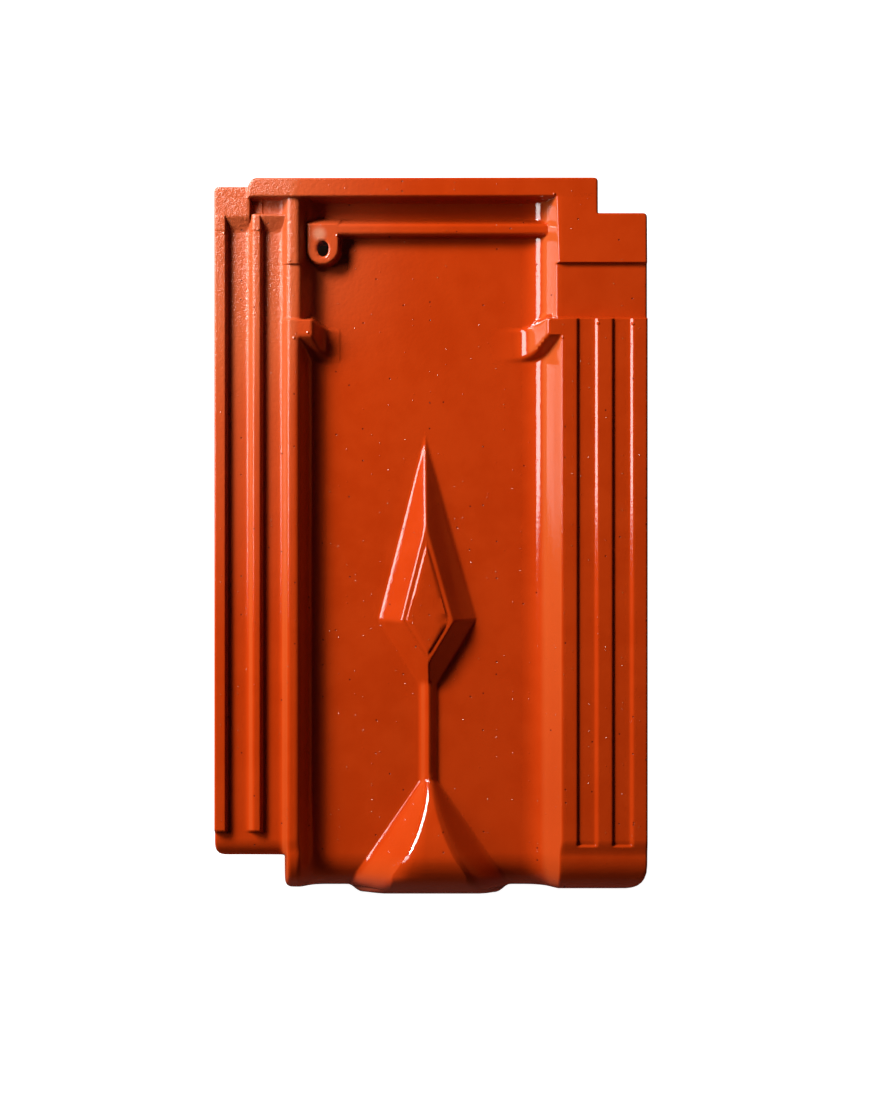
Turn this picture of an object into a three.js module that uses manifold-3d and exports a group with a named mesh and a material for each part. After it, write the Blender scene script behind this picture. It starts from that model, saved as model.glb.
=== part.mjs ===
import * as THREE from 'three';
import { mergeVertices } from 'three/addons/utils/BufferGeometryUtils.js';
import Module from 'manifold-3d';

// A glazed interlocking roof tile, pressed in one piece, lying on its back with the moulded face up.
// Millimetres. +Z is up off the resting plane, +Y runs to the head, +X to the cover side.
// The origin is the middle of the tile on the plane that it rests on.

// Overall
const tileWidth = 246.6;
const bodyLength = 406.4;
const tailReach = 3.6;

// Levels of the pan, and how far each raised part stands above the top of the pan
const nibDepth = 18;
const panThickness = 11;
const coverRise = 23;
const fluteDepth = 1.4;
const bandRise = 17.2;
const headPanelRise = 19.8;
const mainRibRise = 14;
const mainBandRise = 12.2;
const mainHeadRise = 13.6;
const channelRise = 7;
const smallRibHeight = 4.5;
const rimLeftRise = 15.6;
const rimRightRise = 17.6;
const barRise = 8;

// Strips across the tile, from the outer rib of the side lap to the cover
const outerRibWidth = 6.3;
const steepBatter = 0.7;
const grooveWidth = 12;
const middleRibLead = 3.2;
const middleRibWidth = 4.1;
const channelWidth = 11.4;
const mainRibBatter = 3.6;
const mainRibWidth = 6.1;
const coverWidth = 48.8;
const sideSlope = THREE.MathUtils.degToRad(60);
const panFillet = 12;
const edgeBreak = 1.2;

// Flutes in the cover
const fluteCount = 2;
const flutePitch = 20;
const firstRibWidth = 8.6;
const fluteFloor = 8.7;
const fluteSteepBatter = 1.5;
const fluteBatter = 1.9;

// Lengths along the tile, measured from the head edge unless a name says otherwise
const rimWidth = 10.8;
const rimBatter = 2.6;
const barDistance = 24.9;
const barWidth = 5.7;
const barHeadBatter = 3.6;
const barFootBatter = 1.6;
const headStepDistance = 49;
const bandDistance = 80.5;
const stepBatter = 0.6;
const fluteEndFromFoot = 27.2;
const coverEndDrop = 2.3;
const mainRibEndDrop = 1;
const smallRibEndFromFoot = 34.2;

// Rounded foot and the apron under it
const noseLength = 21;
const noseDrop = 22;
const lapNoseLength = 10.3;
const lapNoseDrop = 8;
const apronThickness = 13.8;
const apronBackRun = 5;
const apronLead = 1.6;
const noseFacets = 7;

// Corners cut out of the rectangle, and the radii of what is left
const notchLength = 20.3;
const notchWidth = 27.9;
const lapHeadSetback = 4.7;
const lapHeadWidth = 19.1;
const lapHeadLean = 3.2;
const lapFootMargin = 1.4;
const headRadius = 2.6;
const lapFootRadius = 7;
const mainFootRadius = 6.5;
const coverFootRadius = 15;

// Head of the side lap
const headBlockLength = 16.8;
const lapRampRun = 8.2;
const ridgeWidth = 1.2;

// Nail boss and its hole
const bossFromMainRib = 13.8;
const bossDistance = 39.4;
const bossRadius = 9.2;
const bossBatter = 1.2;
const nailHoleWidth = 6.6;
const nailHoleTopLength = 9.6;
const nailHoleLength = 7.2;

// Lugs that the foot of the tile above sits between
const lugReach = 8;
const lugTopLength = 9.5;
const lugHeadBatter = 5;
const lugFootBatter = 13.5;

// Lozenge, stem and tail in the pan
const figureCentre = 1.95;
const figureLean = 0.0127;
const lozengeWidth = 56.3;
const lozengeHeadDistance = 146.4;
const lozengeHeadLength = 105.3;
const lozengeFootLength = 46;
const lozengeRise = 10;
const lozengeHeadInset = 13.2;
const lozengeFootInset = 10.8;
const plateRise = 1;
const plateInset = 2.6;
const plateBatter = 0.5;
const stemWidth = 10.4;
const stemRise = 4;
const stemCrest = 2.4;
const stemLength = 46;
const tailSpread = 0.69;
const tailClimbLength = 46;
const tailLevelling = 1.6;
const tailRise = 22.6;
const tailLeftFlank = THREE.MathUtils.degToRad(44);
const tailRightFlank = THREE.MathUtils.degToRad(50);
const tailNoseLength = 25;
const tailNoseDrop = 29.6;
const tailFootWidth = 79.6;
const tailShoulder = 5.4;
const tailCornerRadius = 2.5;
const tailFacets = 6;

// Hidden side: hanging nibs, and the ribs that drop into the side lap of the next tile
const nibSpacing = 76;
const nibWidth = 26;
const nibLength = 14;
const nibBatter = 2;
const nibDistance = 30;
const coverWall = 9;
const lapThickness = 11;
const lockRibWidth = 6;
const lockRibBatter = 1.5;

// Clearances between tiles that are laid together
const jointClearance = 0.6;
const seatClearance = 0.5;
const lockClearance = 2;
const panGap = 3;

// How deep a part that is joined on reaches into what carries it
const root = 4;
const circleFacets = 28;
const filletFacets = 6;
const glaze = new THREE.MeshStandardMaterial({ color: '#b9390f', roughness: 0.25, metalness: 0 });

// Levels
const panUnder = nibDepth;
const panTop = panUnder + panThickness;
const coverTop = panTop + coverRise;
const channelFloor = panTop + channelRise;
const smallRibTop = channelFloor + smallRibHeight;
const lapUnder = channelFloor - lapThickness;
const coverUnder = smallRibTop + seatClearance;
const lockRibLevel = channelFloor + lockClearance;
const aboveAll = coverTop + root;

// A tile of the next course lies this much higher, with its foot on the bands at the head of this one
const courseRise = panTop + panGap;
const coverApronLevel = panTop + bandRise - courseRise;
const mainApronLevel = panTop + mainBandRise - courseRise + seatClearance;

// Places across the tile
const rightEdge = tileWidth / 2;
const leftEdge = -rightEdge;
const outerRibRight = leftEdge + outerRibWidth;
const grooveLeft = outerRibRight + steepBatter;
const grooveRight = grooveLeft + grooveWidth;
const middleRibLeft = grooveRight + middleRibLead;
const middleRibRight = middleRibLeft + middleRibWidth;
const channelLeft = middleRibRight + steepBatter;
const channelRight = channelLeft + channelWidth;
const mainRibLeft = channelRight + mainRibBatter;
const mainRibRight = mainRibLeft + mainRibWidth;
const slopeRun = 1 / Math.tan(sideSlope);
const panLeft = mainRibRight + mainRibRise * slopeRun;
const coverLeft = rightEdge - coverWidth;
const panRight = coverLeft - coverRise * slopeRun;
const panMiddle = (panLeft + panRight) / 2;
const coverApronLeft = panRight + bandRise * slopeRun - jointClearance;
const mainApronRight = panLeft - mainBandRise * slopeRun + jointClearance;
const underSlopeX = panRight + coverWall / Math.sin(sideSlope);
const coverUnderLeft = underSlopeX + (coverUnder - panTop) * slopeRun;
const panUnderRight = underSlopeX - panThickness * slopeRun;
const mainFootLeft = channelRight + lapFootMargin;
const coverPitch = rightEdge - mainFootLeft + jointClearance;
const lapUnderRight = mainRibLeft - (lapUnder - panUnder) * slopeRun;

// Places along the tile
const headY = (bodyLength + tailReach) / 2;
const footY = headY - bodyLength;
const tailFootY = footY - tailReach;
const rimFootY = headY - rimWidth;
const barHeadY = headY - barDistance;
const barFootY = barHeadY - barWidth;
const headStepY = headY - headStepDistance;
const bandFootY = headY - bandDistance;
const fluteEndY = footY + fluteEndFromFoot;
const smallRibEndY = footY + smallRibEndFromFoot;
const noseHeadY = footY + noseLength;
const lapFootY = footY + apronThickness + apronBackRun + jointClearance;
const lapNoseHeadY = lapFootY + lapNoseLength;
const apronBackY = footY + apronThickness;
const headBlockHeadY = headY - lapHeadSetback;
const headBlockFootY = headBlockHeadY - headBlockLength;
const lapRampFootY = headBlockFootY - lapRampRun;
const lockRibHeadY = lapRampFootY - jointClearance;
const tailNoseHeadY = tailFootY + tailNoseLength;
const lozengeHeadY = headY - lozengeHeadDistance;
const lozengeFootY = lozengeHeadY - lozengeHeadLength - lozengeFootLength;
const tailHeadY = lozengeFootY - stemLength;

const wasm = await Module();
wasm.setup();

// A closed geometry becomes a solid once its corners are shared
function solid(geometry) {
  const bare = geometry.clone();
  bare.deleteAttribute('normal');
  bare.deleteAttribute('uv');
  const merged = mergeVertices(bare);
  const vertProperties = new Float32Array(merged.attributes.position.array);
  const triVerts = new Uint32Array(merged.index.array);
  return new wasm.Manifold(new wasm.Mesh({ numProp: 3, vertProperties, triVerts }));
}

// Straight prism of a flat outline, carried along the third axis of the three given
function prism(outline, length, axisU, axisV, axisW, start) {
  const shape = new THREE.Shape(outline.map(([u, v]) => new THREE.Vector2(u, v)));
  const geometry = new THREE.ExtrudeGeometry(shape, { depth: length, bevelEnabled: false });
  const turn = new THREE.Matrix4().makeBasis(axisU, axisV, axisW);
  geometry.applyMatrix4(turn);
  geometry.translate(start.x, start.y, start.z);
  return solid(geometry);
}

const axisX = new THREE.Vector3(1, 0, 0);
const axisY = new THREE.Vector3(0, 1, 0);
const axisZ = new THREE.Vector3(0, 0, 1);

const alongX = (outlineYZ, low, high) =>
  prism(outlineYZ, high - low, axisY, axisZ, axisX, new THREE.Vector3(low, 0, 0));
const alongY = (outlineXZ, low, high) =>
  prism(outlineXZ, high - low, axisX, axisZ, axisY.clone().negate(), new THREE.Vector3(0, high, 0));
const alongZ = (outlineXY, low, high) =>
  prism(outlineXY, high - low, axisX, axisY, axisZ, new THREE.Vector3(0, 0, low));

// Solid through flat rings of as many points each, which run counterclockwise for someone who looks
// from the first ring to the last
function loft(rings) {
  const count = rings[0].length;
  const positions = rings.flat().flatMap((point) => [point.x, point.y, point.z]);
  const index = [];
  for (let ring = 0; ring + 1 < rings.length; ring += 1) {
    for (let point = 0; point < count; point += 1) {
      const a = ring * count + point;
      const b = ring * count + ((point + 1) % count);
      index.push(a, a + count, b, b, a + count, b + count);
    }
  }
  const last = (rings.length - 1) * count;
  for (const [start, ring, flip] of [[0, rings[0], false], [last, rings.at(-1), true]]) {
    const flat = flattened(ring);
    const clockwise = THREE.ShapeUtils.isClockWise(flat);
    for (const [a, b, c] of THREE.ShapeUtils.triangulateShape(flat, [])) {
      const turned = clockwise === flip ? [a, b, c] : [a, c, b];
      index.push(...turned.map((corner) => start + corner));
    }
  }
  const geometry = new THREE.BufferGeometry();
  geometry.setAttribute('position', new THREE.Float32BufferAttribute(positions, 3));
  geometry.setIndex(index);
  return solid(geometry);
}

// The points of a flat ring in the two axes that it spans
function flattened(ring) {
  const box = new THREE.Box3().setFromPoints(ring);
  const size = box.getSize(new THREE.Vector3());
  if (size.z <= Math.min(size.x, size.y)) return ring.map((p) => new THREE.Vector2(p.x, p.y));
  if (size.y <= size.x) return ring.map((p) => new THREE.Vector2(p.x, p.z));
  return ring.map((p) => new THREE.Vector2(p.y, p.z));
}

// Quarter ellipse from level at the start of a nose to its full drop at the end
function noseFall(y, startY, length, depth) {
  const share = THREE.MathUtils.clamp((startY - y) / length, 0, 1);
  return depth * (1 - Math.sqrt(1 - share * share));
}

// Places along a nose at even angles of its ellipse
function noseStations(startY, length) {
  const steps = Array.from({ length: noseFacets + 1 }, (_, step) => step / noseFacets);
  return steps.map((share) => startY - length * Math.sin((share * Math.PI) / 2));
}

// Outline with a round at each corner that has a radius, as points [x, y, radius]
function rounded(corners) {
  const outline = [];
  corners.forEach(([x, y, radius], i) => {
    const corner = new THREE.Vector2(x, y);
    const [beforeX, beforeY] = corners.at(i - 1);
    const [afterX, afterY] = corners[(i + 1) % corners.length];
    if (radius === 0) {
      outline.push([x, y]);
      return;
    }
    const start = new THREE.Vector2(beforeX, beforeY).sub(corner).setLength(radius).add(corner);
    const end = new THREE.Vector2(afterX, afterY).sub(corner).setLength(radius).add(corner);
    const steps = Math.max(3, Math.round(radius / 2));
    for (const point of new THREE.QuadraticBezierCurve(start, corner, end).getPoints(steps)) {
      outline.push([point.x, point.y]);
    }
  });
  return outline;
}

// Polygon whose sides each move inwards by their own distance; corners run counterclockwise
function inset(corners, distances) {
  const count = corners.length;
  const lines = corners.map((corner, i) => {
    const along = corners[(i + 1) % count].clone().sub(corner).normalize();
    const inward = new THREE.Vector2(-along.y, along.x);
    return { point: corner.clone().addScaledVector(inward, distances[i]), along };
  });
  return lines.map((line, i) => {
    const before = lines[(i + count - 1) % count];
    const gap = line.point.clone().sub(before.point);
    const reach = gap.cross(line.along) / before.along.cross(line.along);
    return before.point.clone().addScaledVector(before.along, reach);
  });
}

// Block between a polygon at a low level and one of as many corners at a high level
function frustum(lowCorners, highCorners, low, high) {
  const ring = (corners, z) => corners.map((corner) => new THREE.Vector3(corner.x, corner.y, z));
  return loft([ring(highCorners, high), ring(lowCorners, low)]);
}

// Middle line of the lozenge, stem and tail, which leans a little above the stem
function figureX(y) {
  return panMiddle + figureCentre - figureLean * Math.max(0, y - lozengeFootY);
}

// Fillet where a side slope runs into the pan; side is -1 at the main rib and 1 at the cover
function panCorner(side) {
  const reach = panFillet * Math.tan(sideSlope / 2);
  const centreX = side < 0 ? panLeft + reach : panRight - reach;
  const points = Array.from({ length: filletFacets + 1 }, (_, step) => {
    const angle = (sideSlope * step) / filletFacets;
    return [centreX + side * panFillet * Math.sin(angle), panTop + panFillet * (1 - Math.cos(angle))];
  });
  return side < 0 ? points.reverse() : points;
}

// Rises that change along the tile: the main rib, the cover and the two small ribs
function mainRiseAt(y) {
  if (y >= headStepY + stepBatter) return mainHeadRise;
  if (y > bandFootY) return mainBandRise;
  return y < fluteEndY ? mainRibRise - mainRibEndDrop : mainRibRise;
}

function coverRiseAt(y) {
  if (y >= headStepY + stepBatter) {
    const share = (y - headStepY - stepBatter) / (rimFootY - headStepY - stepBatter);
    return THREE.MathUtils.lerp(headPanelRise, rimRightRise, Math.min(1, share));
  }
  if (y > bandFootY) return bandRise;
  return y < fluteEndY ? coverRise - coverEndDrop : coverRise;
}

const isFluted = (y) => y >= fluteEndY && y <= bandFootY;

// Cross-section at one place along the tile: the moulded face from left to right, then the underside back
function sectionAt(y) {
  const mainTop = panTop + mainRiseAt(y);
  const crown = panTop + coverRiseAt(y);
  const fluteLevel = isFluted(y) ? crown - fluteDepth : crown;
  const smallTop = y < smallRibEndY ? channelFloor : smallRibTop;
  const lapFall = noseFall(y, lapNoseHeadY, lapNoseLength, lapNoseDrop);
  const fall = noseFall(y, noseHeadY, noseLength, noseDrop);

  const lap = [
    [leftEdge, smallTop - edgeBreak],
    [leftEdge + edgeBreak, smallTop],
    [outerRibRight, smallTop],
    [grooveLeft, channelFloor],
    [grooveRight, channelFloor],
    [middleRibLeft, smallTop],
    [middleRibRight, smallTop],
    [channelLeft, channelFloor],
    [channelRight, channelFloor],
  ];
  const rest = [
    [mainRibLeft, mainTop],
    [panLeft - (mainTop - panTop) * slopeRun, mainTop],
    ...panCorner(-1),
    ...panCorner(1),
    [panRight + (crown - panTop) * slopeRun, crown],
  ];
  for (let flute = 0; flute < fluteCount; flute += 1) {
    const start = coverLeft + firstRibWidth + flute * flutePitch;
    rest.push([start, crown]);
    rest.push([start + fluteSteepBatter, fluteLevel]);
    rest.push([start + fluteSteepBatter + fluteFloor, fluteLevel]);
    rest.push([start + fluteSteepBatter + fluteFloor + fluteBatter, crown]);
  }
  rest.push([rightEdge - edgeBreak, crown]);
  rest.push([rightEdge, crown - edgeBreak]);

  const face = [...lap.map(([x, z]) => [x, z - lapFall]), ...rest.map(([x, z]) => [x, z - fall])];
  const ring = [...face, ...undersideAt(y)];
  return ring.map(([x, z]) => new THREE.Vector3(x, y, z));
}

// Underside of one cross-section from right to left, let down to the apron at the foot
function undersideAt(y) {
  const apron = THREE.MathUtils.clamp((apronBackY + apronBackRun - y) / apronBackRun, 0, 1);
  const between = (open, closed) => THREE.MathUtils.lerp(open, closed, apron);
  const under = between(coverUnder, coverApronLevel);
  const lockTip = between(y > lockRibHeadY ? coverUnder : lockRibLevel, coverApronLevel);
  const points = [[rightEdge, under]];
  const laps = [
    [channelLeft, channelRight],
    [grooveLeft, grooveRight],
  ];
  for (const [left, right] of laps) {
    const centre = (left + right) / 2 + coverPitch;
    points.push([centre + lockRibWidth / 2 + lockRibBatter, under]);
    points.push([centre + lockRibWidth / 2, lockTip]);
    points.push([centre - lockRibWidth / 2, lockTip]);
    points.push([centre - lockRibWidth / 2 - lockRibBatter, under]);
  }
  points.push([between(coverUnderLeft, coverApronLeft), under]);
  points.push([between(panUnderRight, panRight - apronLead), between(panUnder, 0)]);
  points.push([between(panLeft, panLeft + apronLead), between(panUnder, 0)]);
  points.push([between(lapUnderRight, mainApronRight), between(lapUnder, mainApronLevel)]);
  points.push([leftEdge, between(lapUnder, mainApronLevel)]);
  return points;
}

// The whole section carried from the foot to the head
function bodySolid() {
  const stations = [
    ...noseStations(noseHeadY, noseLength),
    ...noseStations(lapNoseHeadY, lapNoseLength),
    apronBackY,
    apronBackY + apronBackRun,
    smallRibEndY - stepBatter,
    smallRibEndY,
    fluteEndY - stepBatter,
    fluteEndY,
    bandFootY,
    bandFootY + stepBatter,
    headStepY,
    headStepY + stepBatter,
    lockRibHeadY,
    lockRibHeadY + stepBatter,
    rimFootY,
    headY,
  ];
  const ordered = [...new Set(stations)].sort((a, b) => b - a);
  return loft(ordered.map(sectionAt));
}

// Rim along the head, a little higher at the cover than at the side lap; its end follows the side slope
function rimSolid() {
  const left = leftEdge + lapHeadWidth;
  const ringAt = (lowX, highX, rise) => [
    new THREE.Vector3(lowX, headY, panTop - root),
    new THREE.Vector3(highX, headY, panTop + rise),
    new THREE.Vector3(highX, rimFootY, panTop + rise),
    new THREE.Vector3(lowX, rimFootY - rimBatter, panTop - root),
  ];
  const right = panRight + rimRightRise * slopeRun + edgeBreak;
  return loft([ringAt(panRight, right, rimRightRise), ringAt(left, left, rimLeftRise)]);
}

// Low bar across the pan that keeps driven rain in the head channel
function barSolid(left) {
  const outline = [
    [barHeadY + barHeadBatter, panTop],
    [barHeadY + barHeadBatter, panTop - root],
    [barFootY - barFootBatter, panTop - root],
    [barFootY - barFootBatter, panTop],
    [barFootY, panTop + barRise - edgeBreak],
    [barFootY + edgeBreak, panTop + barRise],
    [barHeadY - edgeBreak, panTop + barRise],
    [barHeadY, panTop + barRise - edgeBreak],
  ];
  return alongX(outline, left, panRight + barRise * slopeRun);
}

// Flat block that closes the outer groove at the head, and the ridge that starts the inner channel behind
// a pocket; both fall to the floor by the same ramp
function lapHeadSolid() {
  const ramp = [
    [headBlockFootY, smallRibTop],
    [lapRampFootY, channelFloor],
    [lapRampFootY, lapUnder + root],
  ];
  const block = [[headBlockHeadY, lapUnder + root], [headBlockHeadY, smallRibTop], ...ramp];
  const ridgeHeadY = headBlockFootY + ridgeWidth;
  const ridge = [[ridgeHeadY + steepBatter, lapUnder + root], [ridgeHeadY, smallRibTop], ...ramp];
  const closed = alongX(block, leftEdge, leftEdge + lapHeadWidth + edgeBreak);
  return closed.add(alongX(ridge, middleRibRight, mainRibLeft));
}

// Boss round the nail hole, as high as the bar and joined to it
function bossSolid(centreX, centreY) {
  const height = barRise + root;
  const rise = new THREE.CylinderGeometry(bossRadius, bossRadius + bossBatter, height, circleFacets);
  rise.rotateX(Math.PI / 2);
  rise.translate(centreX, centreY, panTop - root + height / 2);
  const neck = [
    [centreX - bossRadius - bossBatter, panTop - root],
    [centreX + bossRadius + bossBatter, panTop - root],
    [centreX + bossRadius, panTop + barRise],
    [centreX - bossRadius, panTop + barRise],
  ];
  return solid(rise).add(alongY(neck, centreY, barHeadY));
}

// Nail hole: an oval mouth that narrows to the round of the nail
function nailHole(centreX, centreY) {
  const ellipse = (width, length) =>
    Array.from({ length: circleFacets }, (_, step) => {
      const angle = (2 * Math.PI * step) / circleFacets;
      const x = centreX + (width / 2) * Math.cos(angle);
      return new THREE.Vector2(x, centreY + (length / 2) * Math.sin(angle));
    });
  const low = ellipse(nailHoleWidth, nailHoleLength);
  const high = ellipse(nailHoleWidth, nailHoleTopLength);
  return frustum(low, high, panUnder - root, panTop + barRise + root);
}

// Lug at one side of the pan: its inner face is the side slope moved in, its ends lean
function lugSolid(side, rise) {
  const foot = side < 0 ? panLeft : panRight;
  const quad = (height) => {
    const inner = foot + side * (height * slopeRun - lugReach);
    const outer = foot + side * (height * slopeRun + root / 2);
    const share = 1 - height / rise;
    const head = bandFootY - lugHeadBatter * share;
    const tail = bandFootY - lugTopLength - lugFootBatter * share;
    const corners = [
      new THREE.Vector2(inner, tail),
      new THREE.Vector2(outer, tail),
      new THREE.Vector2(outer, head),
      new THREE.Vector2(inner, head),
    ];
    return side > 0 ? corners : corners.reverse();
  };
  return frustum(quad(-root / 2), quad(rise), panTop - root / 2, panTop + rise);
}

// Long lozenge with four sloping facets, a flat top and a thin raised plate on it
function lozengeSolid() {
  const half = lozengeWidth / 2;
  const wideY = lozengeHeadY - lozengeHeadLength;
  const corners = [
    new THREE.Vector2(figureX(lozengeHeadY), lozengeHeadY),
    new THREE.Vector2(figureX(wideY) - half, wideY),
    new THREE.Vector2(figureX(lozengeFootY), lozengeFootY),
    new THREE.Vector2(figureX(wideY) + half, wideY),
  ];
  const sides = [lozengeHeadInset, lozengeFootInset, lozengeFootInset, lozengeHeadInset];
  const share = root / 2 / lozengeRise;
  const low = inset(corners, sides.map((side) => -side * share));
  const top = inset(corners, sides);
  const plateLow = inset(top, sides.map(() => plateInset));
  const plateTop = inset(plateLow, sides.map(() => plateBatter));
  const level = panTop + lozengeRise;
  const plate = frustum(plateLow, plateTop, level - plateBatter, level + plateRise);
  return frustum(low, top, panTop - root / 2, level).add(plate);
}

// Stem between the lozenge and the tail
function stemSolid() {
  const centre = figureX(lozengeFootY);
  const outline = [
    [centre - stemWidth / 2, panTop - root],
    [centre + stemWidth / 2, panTop - root],
    [centre + stemWidth / 2, panTop],
    [centre + stemCrest / 2, panTop + stemRise],
    [centre - stemCrest / 2, panTop + stemRise],
    [centre - stemWidth / 2, panTop],
  ];
  return alongY(outline, tailHeadY - root, lozengeFootY + lozengeFootInset + root);
}

// Height of the tail's crest above the pan: it climbs from the stem and levels out
function tailRiseAt(run) {
  const share = Math.min(1, run / tailClimbLength);
  return stemRise + (tailRise - stemRise) * (1 - (1 - share) ** tailLevelling);
}

// Tail that spreads and climbs from the stem, then rounds over past the foot; its left flank is the gentler
function tailSolid() {
  const centre = figureX(tailHeadY);
  const steps = Array.from({ length: tailFacets + 1 }, (_, step) => step / tailFacets);
  const stations = [
    ...steps.map((share) => tailHeadY - share * tailClimbLength),
    apronBackY,
    apronBackY - root / 2,
    ...noseStations(noseHeadY, noseLength),
    ...noseStations(tailNoseHeadY, tailNoseLength),
  ].filter((y) => y <= tailHeadY);
  const ordered = [...new Set(stations)].sort((a, b) => b - a);
  return loft(ordered.map((y) => {
    const run = tailHeadY - y;
    const rise = tailRiseAt(run);
    const wide = stemWidth / 2 + run * tailSpread;
    const crestLeft = Math.max(stemCrest / 2, wide - rise / Math.tan(tailLeftFlank));
    const crestRight = Math.max(stemCrest / 2, wide - rise / Math.tan(tailRightFlank));
    const base = panTop - noseFall(y, noseHeadY, noseLength, noseDrop) - edgeBreak;
    const top = panTop + rise - noseFall(y, tailNoseHeadY, tailNoseLength, tailNoseDrop);
    const bottom = y < apronBackY ? 0 : panTop - panThickness / 2;
    return [
      new THREE.Vector3(centre - wide, y, Math.max(bottom, base - root)),
      new THREE.Vector3(centre - wide, y, Math.max(bottom, base)),
      new THREE.Vector3(centre - crestLeft, y, top),
      new THREE.Vector3(centre + crestRight, y, top),
      new THREE.Vector3(centre + wide, y, Math.max(bottom, base)),
      new THREE.Vector3(centre + wide, y, bottom),
      new THREE.Vector3(centre - wide, y, bottom),
    ];
  }));
}

// Two nibs under the head that hang the tile on its batten; the side to the foot is upright
function nibSolid(side) {
  const centre = panMiddle + (side * nibSpacing) / 2;
  const faceY = headY - nibDistance;
  const quad = (batter) => [
    new THREE.Vector2(centre - nibWidth / 2 + batter, faceY),
    new THREE.Vector2(centre + nibWidth / 2 - batter, faceY),
    new THREE.Vector2(centre + nibWidth / 2 - batter, faceY + nibLength - batter),
    new THREE.Vector2(centre - nibWidth / 2 + batter, faceY + nibLength - batter),
  ];
  return frustum(quad(nibBatter), quad(0), 0, panUnder + root);
}

// Plan of the tile, counterclockwise from the inner corner at the foot of the side lap
function outlineSolid() {
  const tailX = figureX(tailHeadY);
  const corners = [
    [mainFootLeft, lapFootY, 0],
    [mainFootLeft, footY, mainFootRadius],
    [tailX - tailFootWidth / 2 - tailShoulder, footY, 0],
    [tailX - tailFootWidth / 2, tailFootY, tailCornerRadius],
    [tailX + tailFootWidth / 2, tailFootY, tailCornerRadius],
    [tailX + tailFootWidth / 2 + tailShoulder, footY, 0],
    [rightEdge, footY, coverFootRadius],
    [rightEdge, headY - notchLength, headRadius],
    [rightEdge - notchWidth, headY - notchLength, 0],
    [rightEdge - notchWidth, headY, headRadius],
    [leftEdge + lapHeadWidth + lapHeadLean, headY, headRadius],
    [leftEdge + lapHeadWidth, headBlockHeadY, 0],
    [leftEdge, headBlockHeadY, headRadius],
    [leftEdge, lapFootY, lapFootRadius],
  ];
  return alongZ(rounded(corners), -root, aboveAll);
}

// The one piece of fired clay
function tileSolid() {
  const bossX = mainRibRight + bossFromMainRib;
  const bossY = headY - bossDistance;
  let tile = bodySolid();
  const joined = [
    rimSolid(),
    lapHeadSolid(),
    barSolid(bossX - bossRadius),
    bossSolid(bossX, bossY),
    lugSolid(-1, mainRibRise),
    lugSolid(1, coverRise),
    lozengeSolid(),
    stemSolid(),
    tailSolid(),
    nibSolid(-1),
    nibSolid(1),
  ];
  for (const part of joined) tile = tile.add(part);
  return tile.intersect(outlineSolid()).subtract(nailHole(bossX, bossY));
}

// A mesh of the solid's own vertices and triangles
function meshOf(name, shape, material) {
  const { vertProperties, triVerts } = shape.getMesh();
  const geometry = new THREE.BufferGeometry();
  geometry.setAttribute('position', new THREE.BufferAttribute(vertProperties, 3));
  geometry.setIndex(new THREE.BufferAttribute(triVerts, 1));
  geometry.computeVertexNormals();
  const mesh = new THREE.Mesh(geometry, material);
  mesh.name = name;
  return mesh;
}

const group = new THREE.Group();
group.add(meshOf('roof_tile', tileSolid(), glaze));

export default group;
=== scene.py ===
import math
import bpy
import numpy as np
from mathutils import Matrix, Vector


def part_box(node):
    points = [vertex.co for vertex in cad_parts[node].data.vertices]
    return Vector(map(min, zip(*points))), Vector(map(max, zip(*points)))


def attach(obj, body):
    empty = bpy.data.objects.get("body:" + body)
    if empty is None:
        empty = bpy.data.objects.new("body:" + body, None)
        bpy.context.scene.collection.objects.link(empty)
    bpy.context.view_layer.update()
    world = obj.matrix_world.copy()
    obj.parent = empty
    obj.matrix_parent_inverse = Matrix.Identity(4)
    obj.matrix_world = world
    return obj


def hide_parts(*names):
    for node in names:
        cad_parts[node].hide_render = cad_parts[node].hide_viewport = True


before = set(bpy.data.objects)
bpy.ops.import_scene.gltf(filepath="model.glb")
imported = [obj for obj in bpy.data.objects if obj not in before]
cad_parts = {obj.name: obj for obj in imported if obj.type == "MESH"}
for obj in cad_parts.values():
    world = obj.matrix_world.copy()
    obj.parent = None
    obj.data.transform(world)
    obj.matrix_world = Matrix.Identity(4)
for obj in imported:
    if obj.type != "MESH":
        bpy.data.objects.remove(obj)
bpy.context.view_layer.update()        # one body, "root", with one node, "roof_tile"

# The tile is worked out in millimetres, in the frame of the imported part, and set down in metres
metre = 1000.0
lowCorner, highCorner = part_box("roof_tile")
leftEdge = lowCorner.x * metre
rightEdge = highCorner.x * metre
tailFootY = lowCorner.y * metre
headY = highCorner.y * metre
crownTop = highCorner.z * metre


# Camera: straight over the tile, as the photograph was taken
cameraPlace = {
    "over": (0.00986, -0.00517),  # where the middle of the picture falls, metres
    "height": 1.629,
    "viewWidth": 0.5144,  # width of the picture at the pan, metres
    "viewDistance": 1.6,
}


def addCamera():
    camera = bpy.data.objects.new("overheadCamera", bpy.data.cameras.new("overheadCamera"))
    bpy.context.scene.collection.objects.link(camera)
    camera.location = (*cameraPlace["over"], cameraPlace["height"])
    camera.data.sensor_fit = "HORIZONTAL"
    camera.data.lens = camera.data.sensor_width * cameraPlace["viewDistance"] / cameraPlace["viewWidth"]
    bpy.context.scene.camera = camera


addCamera()
print("camera is over the tile")

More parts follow.
